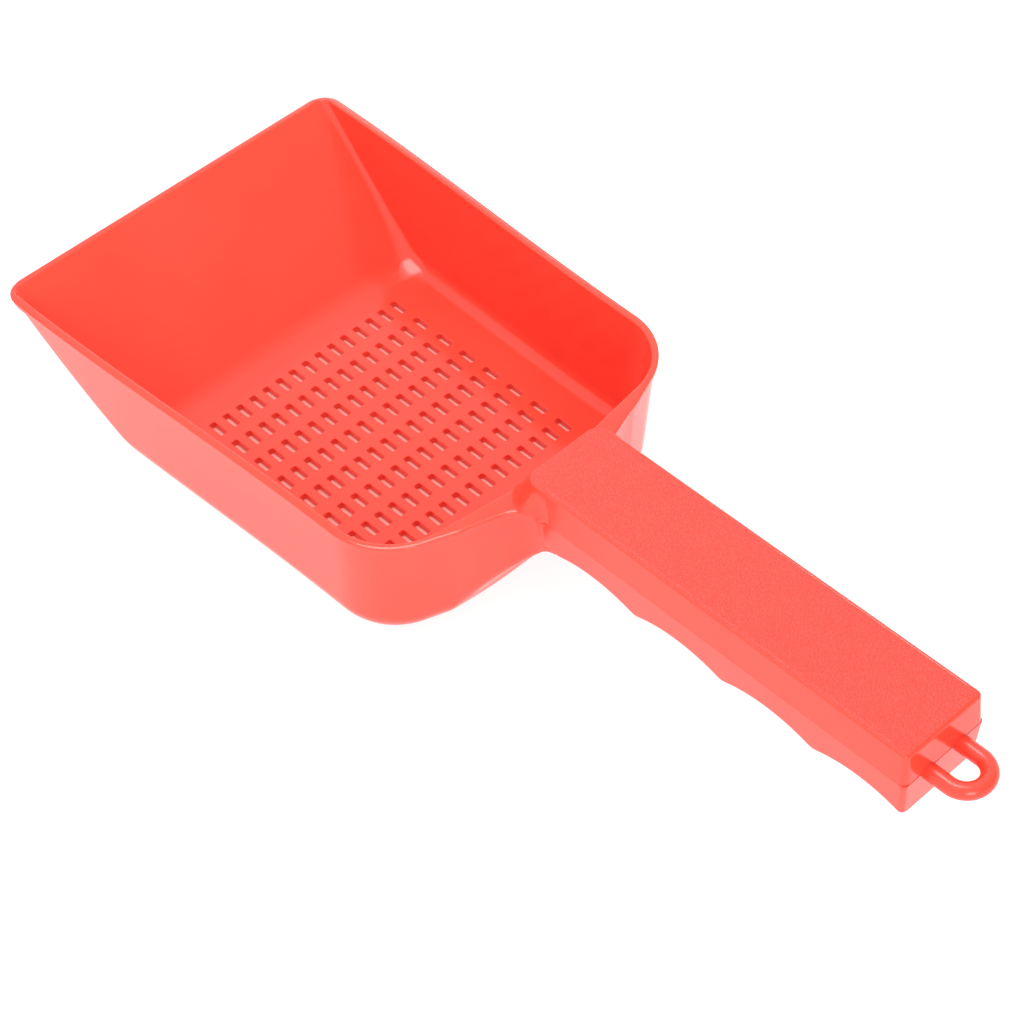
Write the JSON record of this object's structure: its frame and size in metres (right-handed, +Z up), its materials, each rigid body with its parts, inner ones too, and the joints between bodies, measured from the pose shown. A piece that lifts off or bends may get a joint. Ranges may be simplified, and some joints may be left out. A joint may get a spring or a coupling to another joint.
{
  "type": "sieve scoop",
  "caption": "Hand sand scoop: shallow slotted pan with a sloping front lip, finger-grooved handle and a small hanging loop.",
  "frame": {"origin": "centre of the bounding box in plan, on the plane that the pan's flat underside stands on", "axes": "+X along the scoop from the lip to the handle's loop, +Z up out of the open pan, and Y across it with y = 0 as the mirror plane"},
  "size_m": [0.3072, 0.1208, 0.0492],
  "materials": {
    "body_plastic": "glossy moulded plastic",
    "grip_plastic": "fine leather grain on top, smooth sides",
    "loop_plastic": "glossy moulded plastic"
  },
  "bodies": {
    "root": {"scoop_body": "body_plastic", "handle_cover": "grip_plastic", "hang_loop": "loop_plastic"}
  },
  "joints": []
}
